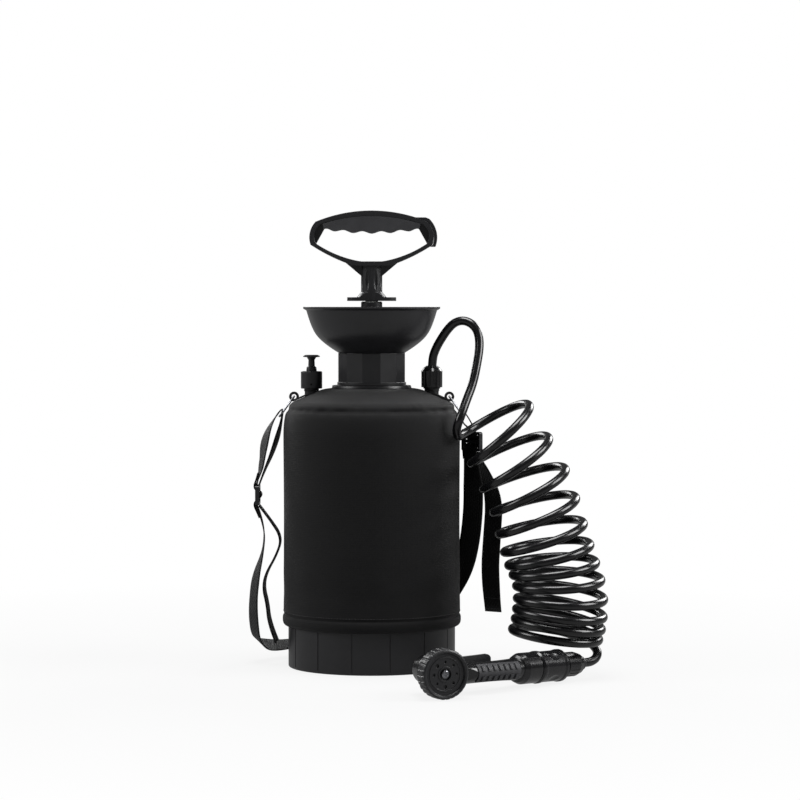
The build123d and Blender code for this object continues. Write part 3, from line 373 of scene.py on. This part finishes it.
    # Polypropylene webbing, woven flat: ribs across it 1.6 mm apart with a lengthways grain.
    material, tree, shader = new_material(
        "polypropylene_webbing", linear("#0c0c0d"), 0.68, 1.38, Sheen_Weight=0.03, Sheen_Roughness=0.4
    )
    flat = add_node(tree, "ShaderNodeTexCoord").outputs["UV"]
    skew = add_node(tree, "ShaderNodeMapping", {"Vector": flat, "Rotation": (0, 0, math.radians(45))})
    weft = add_node(
        tree, "ShaderNodeTexWave", {"Vector": skew.outputs[0], "Scale": 625 / 6.2832, "Distortion": 0.3},
        wave_type="BANDS", bands_direction="X",
    )
    warp = add_node(
        tree, "ShaderNodeTexWave", {"Vector": flat, "Scale": 770 / 6.2832, "Distortion": 0.2},
        wave_type="BANDS", bands_direction="Y",
    )
    weave = add_node(tree, "ShaderNodeMath", {0: weft.outputs["Fac"], 1: warp.outputs["Fac"]}, operation="MULTIPLY")
    dust = add_node(tree, "ShaderNodeTexNoise", {"Vector": flat, "Scale": 60, "Detail": 4})
    shade = add_node(tree, "ShaderNodeMath", {0: weave.outputs[0], 1: dust.outputs[0]}, operation="MULTIPLY")
    tint(tree, shader, map_range(tree, shade.outputs[0], 0, 1.7), linear("#050506"), linear("#121213"))
    tree.links.new(map_range(tree, weave.outputs[0], 0.72, 0.5), shader.inputs["Roughness"])
    bump(tree, shader, weave.outputs[0], 0.00035, 0.9)
    made["webbing"] = material

    # Bonded nylon sewing thread, a shade lighter than what it sews.
    material, tree, shader = new_material("nylon_thread", linear("#232325"), 0.5, 1.5, Sheen_Weight=0.2)
    place = add_node(tree, "ShaderNodeTexCoord").outputs["Object"]
    strand = add_node(tree, "ShaderNodeTexNoise", {"Vector": place, "Scale": 2600, "Detail": 2})
    tint(tree, shader, strand.outputs[0], linear("#19191a"), linear("#2c2c2e"))
    bump(tree, shader, strand.outputs[0], 0.00005, 0.5)
    made["thread"] = material
    return made


FINISH_OF_SLOT = {
    "plastic_black": "polypropylene",
    "plastic_gloss": "abs",
    "rubber": "rubber",
    "soft_grip": "grip",
    "chromed_wire": "steel",
    "spring_steel": "steel",
    "tank_plastic": "polyethylene",
    "clear_tube": "pipe",
    "neoprene": "neoprene",
    "webbing": "webbing",
    "tube_black": "hose",
}
FINISH_OF_NODE = {"base_foot": "foot", "piston_rod": "polypropylene", "valve_stem": "acetal"}
CARRIED = {}


def finished(piece, finish, body="tank"):
    """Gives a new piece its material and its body."""
    piece.data.materials.clear()
    piece.data.materials.append(CARRIED[finish])
    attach(piece, body)
    return piece


def piece_from(mesh, name, smooth=True):
    """An object at the origin from a bmesh, which is freed."""
    data = bpy.data.meshes.new(name)
    mesh.to_mesh(data)
    mesh.free()
    if smooth:
        data.shade_smooth()
    piece = bpy.data.objects.new(name, data)
    bpy.context.scene.collection.objects.link(piece)
    return piece


def nurbs(name, points):
    """An open NURBS curve with the points as its control points."""
    curve = bpy.data.curves.new(name, "CURVE")
    curve.dimensions = "3D"
    spline = curve.splines.new("NURBS")
    spline.points.add(len(points) - 1)
    for knot, point in zip(spline.points, points):
        knot.co = (*point, 1)
    spline.order_u = 3
    spline.use_endpoint_u = True
    spline.resolution_u = 8
    return curve


def route_points(points):
    """The points that Blender gives for a route's own smooth line."""
    curve = nurbs("route", points)
    holder = bpy.data.objects.new("route", curve)
    bpy.context.scene.collection.objects.link(holder)
    mesh = bpy.data.meshes.new_from_object(holder)
    line = [v.co.copy() for v in mesh.vertices]
    bpy.data.meshes.remove(mesh)
    bpy.data.objects.remove(holder)
    bpy.data.curves.remove(curve)
    return line


def line_length(line):
    return sum((b - a).length for a, b in zip(line, line[1:]))


def at_share(line, share):
    """The point of a line at a share of its length."""
    left = share * line_length(line)
    for a, b in zip(line, line[1:]):
        step = (b - a).length
        if left <= step:
            return a.lerp(b, left / step if step else 0)
        left -= step
    return line[-1].copy()


def between(table, t):
    """A row of a table of turns at the fractional turn t."""
    low = max(0, min(int(t), len(table) - 2))
    share = t - low
    return [a + (b - a) * share for a, b in zip(table[low], table[low + 1])]


class ShowerHose(bpy.types.PropertyGroup):
    diameter: bpy.props.FloatProperty(
        name="Diameter", description="Outside diameter of the hose", default=0.0098, unit="LENGTH"
    )
    points_per_turn: bpy.props.IntProperty(
        name="Points per Turn", description="Control points in each turn of the coil", default=16, min=12
    )
    first_turn: bpy.props.FloatProperty(
        name="First Turn", description="Where the coil starts, in turns from its leftmost point", default=0.05
    )
    last_turn: bpy.props.FloatProperty(
        name="Last Turn", description="Where the coil ends, in turns from its leftmost point", default=12.34
    )


class ShowerCover(bpy.types.PropertyGroup):
    thickness: bpy.props.FloatProperty(
        name="Thickness", description="Thickness of the neoprene", default=0.0033, unit="LENGTH"
    )
    crease: bpy.props.FloatProperty(
        name="Crease", description="Depth of the folds under the shoulder", default=0.0017, unit="LENGTH"
    )


class ShowerWebbing(bpy.types.PropertyGroup):
    width: bpy.props.FloatProperty(
        name="Width", description="Width of the strap's webbing", default=0.025, unit="LENGTH"
    )
    thickness: bpy.props.FloatProperty(
        name="Thickness", description="Thickness of the strap's webbing", default=0.0015, unit="LENGTH"
    )


class ShowerColours(bpy.types.PropertyGroup):
    plastic: bpy.props.FloatVectorProperty(
        name="Satin Plastic", description="Colour of the funnel, pump and handle", subtype="COLOR",
        default=linear("#242427"),
    )
    gloss: bpy.props.FloatVectorProperty(
        name="Gloss Plastic", description="Colour of the gun and nuts", subtype="COLOR", default=linear("#151517")
    )
    hose: bpy.props.FloatVectorProperty(
        name="Hose", description="Colour of the hose", subtype="COLOR", default=linear("#0f0f11")
    )
    cover: bpy.props.FloatVectorProperty(
        name="Cover", description="Colour of the neoprene cover", subtype="COLOR", default=linear("#151517")
    )


class SHOWER_OT_stage(bpy.types.Operator):
    """Makes the floor, the lights, the world and the camera"""

    bl_idname = "shower.stage"
    bl_label = "Stage"

    def execute(self, context):
        scene = context.scene
        scene.view_settings.view_transform = "Standard"
        floor = bmesh.new()
        bmesh.ops.create_grid(floor, x_segments=1, y_segments=1, size=30)
        floor = piece_from(floor, "floor", smooth=False)
        material, tree, shader = new_material("studio_paper", (0.42, 0.42, 0.42), 0.9, 1.3)
        shader.inputs["Specular IOR Level"].default_value = 0.1
        paths = add_node(tree, "ShaderNodeLightPath")
        place = add_node(tree, "ShaderNodeTexCoord").outputs["Object"]
        away = add_node(tree, "ShaderNodeVectorMath", {0: place}, operation="LENGTH")
        far = add_node(
            tree, "ShaderNodeMapRange", {"Value": away.outputs["Value"], "From Min": 0.35, "From Max": 1.0, "To Min": 0.85, "To Max": 1.0}
        )
        clear = add_node(tree, "ShaderNodeMath", {0: paths.outputs["Is Camera Ray"], 1: paths.outputs["Is Transmission Ray"]}, operation="MAXIMUM")
        share = add_node(tree, "ShaderNodeMath", {0: clear.outputs[0], 1: far.outputs[0]}, operation="MULTIPLY")
        glow = add_node(tree, "ShaderNodeEmission", {"Strength": 1.0})
        both = add_node(tree, "ShaderNodeMixShader", {0: share.outputs[0], 1: shader.outputs[0], 2: glow.outputs[0]})
        dim = add_node(tree, "ShaderNodeEmission", {"Strength": 0.40})
        mirrored = add_node(tree, "ShaderNodeMixShader", {0: paths.outputs["Is Glossy Ray"], 1: both.outputs[0], 2: dim.outputs[0]})
        output = next(n for n in tree.nodes if n.type == "OUTPUT_MATERIAL")
        tree.links.new(mirrored.outputs[0], output.inputs["Surface"])
        floor.data.materials.append(material)

        world = bpy.data.worlds.new("studio")
        world.use_nodes = True
        tree = world.node_tree
        tree.nodes.clear()
        paths = add_node(tree, "ShaderNodeLightPath")
        seen = add_node(tree, "ShaderNodeMath", {0: paths.outputs["Is Camera Ray"], 1: paths.outputs["Is Transmission Ray"]}, operation="MAXIMUM")
        room = add_node(tree, "ShaderNodeBackground", {"Color": (1, 1, 1, 1), "Strength": 0.09})
        white = add_node(tree, "ShaderNodeBackground", {"Color": (1, 1, 1, 1), "Strength": 1.0})
        mirrored = add_node(tree, "ShaderNodeBackground", {"Color": (1, 1, 1, 1), "Strength": 0.10})
        dim = add_node(tree, "ShaderNodeMixShader", {0: paths.outputs["Is Glossy Ray"], 1: room.outputs[0], 2: mirrored.outputs[0]})
        both = add_node(tree, "ShaderNodeMixShader", {0: seen.outputs[0], 1: dim.outputs[0], 2: white.outputs[0]})
        add_node(tree, "ShaderNodeOutputWorld", {"Surface": both.outputs[0]})
        scene.world = world

        lamps = (
            ("key_left", (-2.0, -0.45, 1.5), 1.2, 27),
            ("key_right", (2.0, -0.45, 1.4), 1.2, 44),
            ("top", (0.0, -0.25, 2.5), 1.3, 58),
            ("back_left", (-1.4, 1.9, 1.3), 1.0, 22),
            ("back_right", (1.5, 1.8, 1.3), 1.0, 28),
        )
        for name, place, size, power in lamps:
            lamp = bpy.data.lights.new(name, "AREA")
            lamp.shape = "SQUARE"
            lamp.size = size
            lamp.energy = power
            holder = bpy.data.objects.new(name, lamp)
            holder.location = place
            holder.rotation_euler = (Vector((0.05, -0.05, 0.2)) - Vector(place)).to_track_quat("-Z", "Y").to_euler()
            scene.collection.objects.link(holder)

        camera = bpy.data.cameras.new("camera")
        camera.lens = 127.4
        camera.sensor_width = 36
        holder = bpy.data.objects.new("camera", camera)
        holder.location = (0.032, -3.2, 0.406)
        holder.rotation_euler = (math.radians(90 - 1.88), 0, 0)
        scene.collection.objects.link(holder)
        scene.camera = holder
        return {"FINISHED"}


class SHOWER_OT_finishes(bpy.types.Operator):
    """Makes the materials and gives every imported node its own"""

    bl_idname = "shower.finishes"
    bl_label = "Finishes"

    def execute(self, context):
        CARRIED.update(make_materials(context.scene.shower_colours))
        for subpart in frame["record"]["subparts"]:
            name = subpart["node"]
            node = frame["nodes"][name]
            finish = FINISH_OF_NODE.get(name, FINISH_OF_SLOT[subpart["material_slot"]])
            node.data.materials.clear()
            node.data.materials.append(CARRIED[finish])
        return {"FINISHED"}


class SHOWER_OT_hose(bpy.types.Operator):
    """Winds the hose from the outlet over the shoulder and through its coil to the connector"""

    bl_idname = "shower.hose"
    bl_label = "Hose"

    def execute(self, context):
        size = context.scene.shower_hose
        axis = route_points(COIL_AXIS)
        step = 1 / size.points_per_turn
        reach = 1 / math.cos(math.pi * step)
        points = [Vector(p) for p in BOW]
        t = size.first_turn
        while t < size.last_turn:
            share, radius, lean = between(TURNS, t)
            lean = math.radians(lean)
            right = Vector((math.cos(lean), 0, math.sin(lean)))
            rear = Vector((0, 1, 0.05)).normalized()
            turn = 2 * math.pi * t
            offset = right * -math.cos(turn) + rear * math.sin(turn)
            points.append(at_share(axis, min(share, 1)) + offset * radius * reach)
            t += step
        points += [Vector(p) for p in HOSE_END]
        curve = nurbs("hose", points)
        curve.bevel_depth = size.diameter / 2
        curve.bevel_resolution = 6
        curve.use_fill_caps = True
        hose = bpy.data.objects.new("hose", curve)
        context.scene.collection.objects.link(hose)
        finished(hose, "hose")
        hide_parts("hose_bow", "hose_coil", "hose_tail")
        length = line_length(route_points(points))
        print("hose length", round(length, 3))
        return {"FINISHED"}


def webbing(name, route, across, size, replaced=None, twists=((0, 0), (1, 0))):
    """A band of webbing extruded along a route, with rounded selvedges and a UV map in metres.

    The twists turn it about its own run: a share of the length, and degrees."""
    line = route_points(route)
    whole = line_length(line)
    mesh = bmesh.new()
    flat = mesh.loops.layers.uv.new("weave")
    along = mesh.verts.layers.float.new("along")
    side = mesh.verts.layers.float.new("side")
    half, thin = size.width / 2, size.thickness / 2
    columns = 8
    steps = [-half + 0.6 * thin + (size.width - 1.2 * thin) * i / columns for i in range(columns + 1)]
    profile = [(-half, 0)] + [(x, thin) for x in steps] + [(half, 0)] + [(x, -thin) for x in reversed(steps)]
    wide = Vector(across).normalized()
    distance = 0.0
    ring = []
    placed = None
    for i, point in enumerate(line):
        before = line[max(i - 1, 0)]
        after = line[min(i + 1, len(line) - 1)]
        ahead = (after - before).normalized()
        wide = (wide - ahead * wide.dot(ahead)).normalized()
        distance += (point - before).length if i else 0
        share = distance / whole
        turn = 0.0
        for (s0, a0), (s1, a1) in zip(twists, twists[1:]):
            if s0 <= share <= s1:
                ease = (share - s0) / (s1 - s0)
                turn = a0 + (a1 - a0) * ease * ease * (3 - 2 * ease)
        turned = Matrix.Rotation(math.radians(turn), 3, ahead) @ wide
        up = ahead.cross(turned)
        here = Matrix((turned, up, ahead)).transposed().to_4x4()
        here.translation = point
        if placed is None:
            verts = [mesh.verts.new(here @ Vector((x, y, 0))) for x, y in profile]
            for vert, (x, y) in zip(verts, profile):
                vert[side] = x
            ring = [mesh.edges.new(pair) for pair in zip(verts, verts[1:] + verts[:1])]
            bmesh.ops.contextual_create(mesh, geom=ring)
        else:
            grown = bmesh.ops.extrude_edge_only(mesh, edges=ring)["geom"]
            ring = [g for g in grown if isinstance(g, bmesh.types.BMEdge)]
            verts = [g for g in grown if isinstance(g, bmesh.types.BMVert)]
            bmesh.ops.transform(mesh, matrix=here @ placed.inverted(), verts=verts)
            for vert in verts:
                vert[along] = distance
            fresh = set(verts)
            ring = [e for e in ring if e.verts[0] in fresh and e.verts[1] in fresh]
        placed = here
    bmesh.ops.contextual_create(mesh, geom=ring)
    for face in mesh.faces:
        for loop in face.loops:
            loop[flat].uv = (loop.vert[along], loop.vert[side])
    bmesh.ops.recalc_face_normals(mesh, faces=mesh.faces[:])
    piece = piece_from(mesh, name)
    finished(piece, "webbing")
    if replaced:
        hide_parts(replaced)
    return piece


class SHOWER_OT_webbing(bpy.types.Operator):
    """Sweeps the shoulder strap, its loops, its free tails and its turns through the slide buckles"""

    bl_idname = "shower.webbing"
    bl_label = "Webbing"

    def execute(self, context):
        size = context.scene.shower_webbing
        webbing(
            "webbing_loop_left", LOOP_LEFT, (0, 1, 0), size, "strap_loop_left",
            ((0, 0), (0.14, 14), (0.26, 20), (0.47, 0), (0.53, 0), (0.7, 9), (1, 0)),
        )
        webbing("webbing_loop_right", LOOP_RIGHT, (0, 1, 0), size, "strap_loop_right")
        webbing(
            "webbing_shoulder", STRAP, (0, 1, 0), size, "strap_main",
            (
                (0, 0), (0.07, -4), (0.15, -22), (0.226, -28), (0.29, -38), (0.36, -50), (0.50, -50),
                (0.64, -12), (0.72, 0), (0.80, 26), (0.93, 26), (0.98, 6), (1, 0),
            ),
        )
        webbing("webbing_tail_left", TAIL_LEFT, (0, 1, 0), size, "strap_tail_left", ((0, 0), (0.6, 4), (1, 6)))
        webbing(
            "webbing_tail_right", TAIL_RIGHT, (-0.6, 0.8, 0), size, "strap_tail_right",
            ((0, 0), (0.12, 2), (0.4, -12), (0.8, -14), (1, -8)),
        )
        for name, node, normal, wide, route in (
            ("webbing_turn_left", "tri_glide_left", (1, 0, 0), (0, 1, 0), TURN_LEFT),
            ("webbing_turn_right", "tri_glide_right", (0.8, 0.6, 0), (-0.6, 0.8, 0), TURN_RIGHT),
        ):
            low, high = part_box(node)
            centre = (low + high) / 2
            points = [centre + Vector(normal) * out + Vector((0, 0, up)) for out, up in route]
            webbing(name, points, wide, size)
        return {"FINISHED"}


COVER_RADIUS = 0.0997
SHOULDER = 0.268
COVER_OUTLINE = (
    (0.0360, 0.3145),
    (0.0460, 0.3145),
    (0.0520, 0.3138),
    (0.0580, 0.3124),
    (0.0660, 0.3090),
    (0.0760, 0.3045),
    (0.0830, 0.3013),
    (0.0885, 0.2988),
    (0.0925, 0.2950),
    (0.0950, 0.2912),
    (0.0972, 0.2860),
    (0.0986, 0.2790),
    (0.0995, 0.2700),
    (0.0997, 0.2600),
    (0.0997, 0.2400),
    (0.0997, 0.2100),
    (0.0997, 0.1800),
    (0.0997, 0.1500),
    (0.0997, 0.1200),
    (0.0997, 0.0900),
    (0.0998, 0.0740),
    (0.0998, 0.0660),
    (0.1001, 0.0610),
    (0.1007, 0.0570),
    (0.1009, 0.0530),
    (0.1003, 0.0490),
    (0.0982, 0.0468),
    (0.0958, 0.0460),
)


class SHOWER_OT_cover(bpy.types.Operator):
    """Sews the neoprene cover over the tank, with its folds under the shoulder and its turned hem"""

    bl_idname = "shower.cover"
    bl_label = "Cover"

    def execute(self, context):
        size = context.scene.shower_cover
        mesh = bmesh.new()
        outline = route_points([(r, 0, z) for r, z in COVER_OUTLINE])
        verts = [mesh.verts.new(p) for p in outline]
        edges = [mesh.edges.new(pair) for pair in zip(verts, verts[1:])]
        bmesh.ops.spin(
            mesh, geom=verts + edges, cent=(0, 0, 0), axis=(0, 0, 1), dvec=(0, 0, 0),
            angle=2 * math.pi, steps=288, use_merge=True, use_duplicate=False,
        )
        for vert in mesh.verts:
            co = vert.co
            r = math.hypot(co.x, co.y)
            a = math.atan2(co.y, co.x)
            ring = Vector((math.cos(a), math.sin(a), 0))
            under = math.exp(-(((co.z - 0.2905) / 0.0030) ** 2))
            above = math.exp(-(((co.z - 0.2970) / 0.0045) ** 2))
            seam = math.exp(-((math.remainder(a - math.pi / 2, 2 * math.pi) * r / 0.0020) ** 2))
            tuck = math.exp(-(((co.z - 0.0600) / 0.0018) ** 2))
            folds = noise.noise(Vector((math.cos(a) * 7, math.sin(a) * 7, co.z * 40)))
            gather = max(0, noise.noise(Vector((math.cos(a) * 3 + 4, math.sin(a) * 3, 7))))
            pleat = noise.noise(Vector((math.cos(a) * 26, math.sin(a) * 26, co.z * 25))) * gather
            slow = noise.noise(Vector((math.cos(a) * 2.2, math.sin(a) * 2.2, co.z * 9)))
            low = math.exp(-(((co.z - 0.085) / 0.022) ** 2))
            bulge = noise.noise(Vector((math.cos(a) * 3 + 9, math.sin(a) * 3, co.z * 30)))
            shift = -size.crease * under * (1.0 + 0.8 * folds) + size.crease * above * (0.5 + 1.6 * pleat)
            shift += 0.0006 * slow + 0.0013 * low * bulge - 0.0009 * seam - 0.0011 * tuck
            if r > 0.07:
                vert.co += ring * shift
        flat = mesh.loops.layers.uv.new("knit")
        for face in mesh.faces:
            middle = face.calc_center_median()
            base = math.atan2(middle.y, middle.x)
            for loop in face.loops:
                co = loop.vert.co
                a = math.atan2(co.y, co.x)
                if a - base > math.pi:
                    a -= 2 * math.pi
                if base - a > math.pi:
                    a += 2 * math.pi
                inwards = COVER_RADIUS - math.hypot(co.x, co.y)
                loop[flat].uv = (a * COVER_RADIUS, min(co.z, SHOULDER) + (inwards if co.z > SHOULDER else 0))
        bmesh.ops.recalc_face_normals(mesh, faces=mesh.faces[:])
        cover = piece_from(mesh, "neoprene_sleeve")
        solid = cover.modifiers.new("wall", "SOLIDIFY")
        solid.thickness = size.thickness
        solid.offset = -1
        finished(cover, "neoprene")
        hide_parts("neoprene_cover")
        return {"FINISHED"}


def sewn(name, cloth, places):
    """Stitches laid on a cloth: each place is a point near it, the thread's run and the stitch's length."""
    bpy.context.view_layer.update()
    mesh = bmesh.new()
    for point, run, length in places:
        _, spot, normal, _ = cloth.closest_point_on_mesh(point)
        run = (run - normal * run.dot(normal)).normalized()
        here = Matrix((run * length / 2, normal.cross(run) * THREAD / 2, normal * THREAD / 2)).transposed().to_4x4()
        here.translation = spot
        bmesh.ops.create_icosphere(mesh, subdivisions=1, radius=1, matrix=here)
    bmesh.ops.recalc_face_normals(mesh, faces=mesh.faces[:])
    return finished(piece_from(mesh, name), "thread")


class SHOWER_OT_stitching(bpy.types.Operator):
    """Sews the cover's hem and back seam, and the folded ends of the strap's tails"""

    bl_idname = "shower.stitching"
    bl_label = "Stitching"

    def execute(self, context):
        cover = bpy.data.objects["neoprene_sleeve"]
        radius = COVER_RADIUS
        places = []
        count = round(2 * math.pi * radius / HEM_PITCH)
        for i in range(count):
            a = 2 * math.pi * i / count
            out = Vector((math.cos(a), math.sin(a), 0))
            places.append((out * radius + Vector((0, 0, HEM_ROW)), Vector((-out.y, out.x, 0)), 0.62 * HEM_PITCH))
        rows = round((SEAM_TOP - HEM_ROW) / SEAM_PITCH)
        for i in range(rows):
            for side in (-1, 1):
                point = Vector((side * 0.0020, radius, HEM_ROW + SEAM_PITCH * (i + 0.25 * side)))
                places.append((point, Vector((side * 0.6, 0, 1)), 0.9 * SEAM_PITCH))
        sewn("cover_stitching", cover, places)
        width = context.scene.shower_webbing.width
        for side, route, across in (("left", TAIL_LEFT, (0, 1, 0)), ("right", TAIL_RIGHT, (-0.75, 0.66, 0))):
            line = route_points(route)
            whole = line_length(line)
            across = Vector(across)
            places = []
            for back in TAIL_ROWS:
                middle = at_share(line, 1 - back / whole)
                run = (middle - at_share(line, 1 - (back + 0.004) / whole)).normalized()
                face = run.cross(across).normalized()
                for i in range(-4, 5):
                    for way in (-0.004, 0.004):
                        places.append((middle + across * (i * width / 10.5) + face * way, across, 0.0019))
            sewn("tail_stitching_" + side, bpy.data.objects["webbing_tail_" + side], places)
        return {"FINISHED"}


class SHOWER_PT_parts(bpy.types.Panel):
    bl_label = "Pressure Shower"
    bl_idname = "SHOWER_PT_parts"
    bl_space_type = "VIEW_3D"
    bl_region_type = "UI"
    bl_category = "Shower"

    def draw(self, context):
        scene = context.scene
        for group in (scene.shower_hose, scene.shower_cover, scene.shower_webbing, scene.shower_colours):
            box = self.layout.box()
            for name in group.bl_rna.properties.keys():
                if name not in ("rna_type", "name"):
                    box.prop(group, name)
        for operator in OPERATORS:
            self.layout.operator(operator.bl_idname)


GROUPS = {
    "shower_hose": ShowerHose,
    "shower_cover": ShowerCover,
    "shower_webbing": ShowerWebbing,
    "shower_colours": ShowerColours,
}
OPERATORS = (
    SHOWER_OT_stage,
    SHOWER_OT_finishes,
    SHOWER_OT_hose,
    SHOWER_OT_webbing,
    SHOWER_OT_cover,
    SHOWER_OT_stitching,
)


def register():
    for name, group in GROUPS.items():
        bpy.utils.register_class(group)
        setattr(bpy.types.Scene, name, bpy.props.PointerProperty(type=group))
    for operator in OPERATORS:
        bpy.utils.register_class(operator)
    bpy.utils.register_class(SHOWER_PT_parts)


def unregister():
    bpy.utils.unregister_class(SHOWER_PT_parts)
    for operator in reversed(OPERATORS):
        bpy.utils.unregister_class(operator)
    for name, group in GROUPS.items():
        delattr(bpy.types.Scene, name)
        bpy.utils.unregister_class(group)


def main():
    register()
    for operator in OPERATORS:
        family, action = operator.bl_idname.split(".")
        getattr(getattr(bpy.ops, family), action)()


if __name__ == "__main__":
    main()
